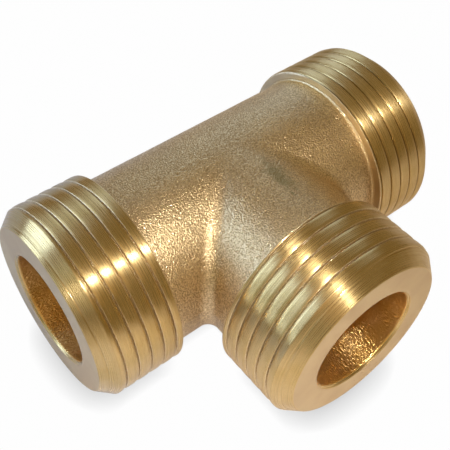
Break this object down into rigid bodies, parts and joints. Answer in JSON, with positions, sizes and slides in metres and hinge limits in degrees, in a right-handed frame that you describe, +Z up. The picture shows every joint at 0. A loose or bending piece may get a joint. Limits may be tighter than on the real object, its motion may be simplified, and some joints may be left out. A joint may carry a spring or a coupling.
{
  "type": "tee fitting",
  "caption": "Forged brass equal tee for pipework, with male parallel pipe threads on every end, flat sealing faces and open bores that meet inside.",
  "frame": {"origin": "on the surface that the tee lies on, under the centre of its box, with the branch axis at X = 0", "axes": "+X along the straight-through run to the right end, -Y out of the branch, +Z up"},
  "size_m": [0.0556, 0.0404, 0.0264],
  "materials": {
    "forged_brass": "hot-forged skin, shot-blasted to an even satin grain",
    "turned_brass": "freshly turned, bright, with fine circular tool lines; drilled bores a deeper orange"
  },
  "bodies": {
    "root": {"forged_body": "forged_brass", "left_run_thread": "turned_brass", "right_run_thread": "turned_brass", "branch_thread": "turned_brass"}
  },
  "joints": []
}
